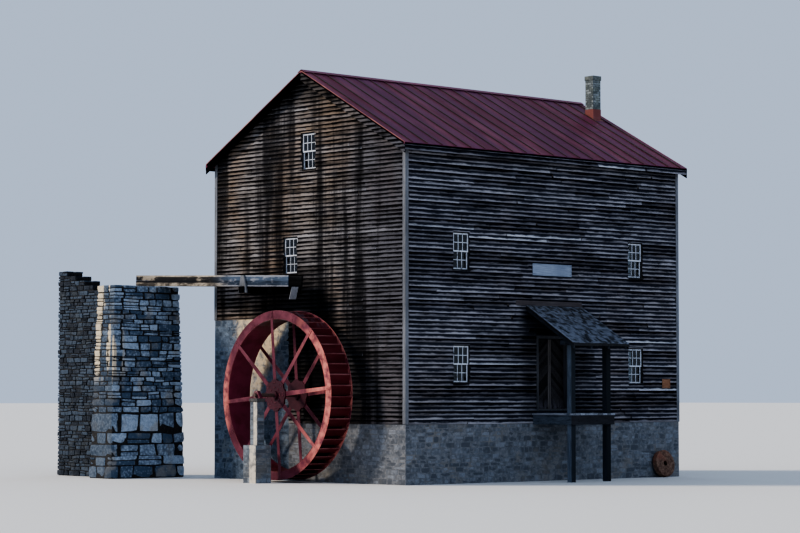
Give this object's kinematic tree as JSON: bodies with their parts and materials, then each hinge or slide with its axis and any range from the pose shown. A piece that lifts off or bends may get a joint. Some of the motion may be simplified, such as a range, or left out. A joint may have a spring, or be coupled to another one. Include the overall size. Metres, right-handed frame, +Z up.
{
  "type": "watermill",
  "caption": "Overshot watermill with a turning steel water wheel, an open-topped flume on a stone pier, a stone and clapboard mill building and a porch with hinged double doors",
  "frame": {"origin": "on the wheel pit's floor level, on the centre line of the gable foundation wall beside the wheel, straight below the ridge", "axes": "+X towards the porch side, -Y the side the wheel stands on, +Z up; the ridge and the wheel's axle both run along Y"},
  "size_m": [16.814, 15.562, 13.5301],
  "materials": {
    "rubble": "blue-grey coursed rubble in lime mortar",
    "limestone": "pale dry-laid limestone blocks, weathered",
    "clapboard": "dark weathered clapboards",
    "trim_wood": "silver-grey weathered corner boards",
    "floor_wood": "rough sawn floor planks and beams",
    "roof_metal": "maroon paint on standing-seam sheet, faded",
    "chimney_stone": "greenish-grey rendered masonry",
    "flashing": "orange-red painted flashing",
    "sash_white": "old white paint",
    "glass": "old window glass",
    "dark_frame": "dark weathered frame boards",
    "door_wood": "dark diagonal boards with lighter edges",
    "shakes": "blue-grey split shakes",
    "post_wood": "weathered squared timber",
    "deck_wood": "grey deck planks",
    "sign_wood": "bare grey boards",
    "wheel_steel": "dark crimson paint, scuffed and rusting",
    "axle_steel": "dark turned steel",
    "concrete_cap": "dark concrete cap",
    "flume_wood": "weathered planks, sun-bleached upstream",
    "mill_stone": "rusty brown burr stone"
  },
  "bodies": {
    "mill": {"stone_storey_wall": "rubble", "foundation_wheel_side": "rubble", "foundation_porch_side": "rubble", "foundation_pier_side": "rubble", "foundation_rear": "rubble", "wheel_gable_wall": "clapboard", "rear_gable_wall": "clapboard", "porch_wall_near": "clapboard", "porch_wall_far": "clapboard", "porch_wall_over_door": "clapboard", "porch_wall_under_door": "clapboard", "pier_side_wall": "clapboard", "corner_boards": "trim_wood", "first_floor": "floor_wood", "second_floor": "floor_wood", "attic_floor": "floor_wood", "roof_porch_side": "roof_metal", "roof_pier_side": "roof_metal", "ridge_cap": "roof_metal", "roof_boards": "dark_frame", "chimney": "chimney_stone", "chimney_flashing": "flashing", "windows_porch_side": "sash_white", "windows_pier_side": "sash_white", "windows_wheel_side": "sash_white", "windows_rear": "sash_white", "window_panes": "glass", "door_frame": "dark_frame", "porch_roof": "shakes", "porch_plate": "dark_frame", "porch_rafters": "dark_frame", "porch_post_near": "post_wood", "porch_post_far": "post_wood", "deck_frame": "dark_frame", "deck_planks": "deck_wood", "wall_signs": "sign_wood", "outboard_bearing": "wheel_steel", "pedestal_cap": "concrete_cap", "bearing_pedestal": "rubble", "wall_bearing": "wheel_steel", "flume_floor": "flume_wood", "flume_sides": "flume_wood", "flume_bearers": "dark_frame", "flume_knee": "dark_frame", "flume_end_board": "trim_wood", "pier": "limestone", "wing_wall": "limestone", "millstone": "mill_stone"},
    "wheel": {"wheel_axle": "axle_steel", "wheel_hubs": "wheel_steel", "wheel_arms_front": "wheel_steel", "wheel_arms_rear": "wheel_steel", "shroud_front": "wheel_steel", "shroud_rear": "wheel_steel", "wheel_sole": "wheel_steel", "wheel_buckets": "wheel_steel"},
    "door_near": {"door_leaf_near": "door_wood"},
    "door_far": {"door_leaf_far": "door_wood"}
  },
  "joints": [
    {"name": "wheel_spin", "type": "hinge", "parent": "mill", "child": "wheel", "pos_m": [0, -1.5, 2.665], "axis": [0, 1, 0], "continuous": true},
    {"name": "door_near_hinge", "type": "hinge", "parent": "mill", "child": "door_near", "pos_m": [4.352, 5.31, 2.24], "axis": [0, 0, 1], "range_deg": [0, 100]},
    {"name": "door_far_hinge", "type": "hinge", "parent": "mill", "child": "door_far", "pos_m": [4.352, 6.57, 2.24], "axis": [0, 0, -1], "range_deg": [0, 100]}
  ]
}
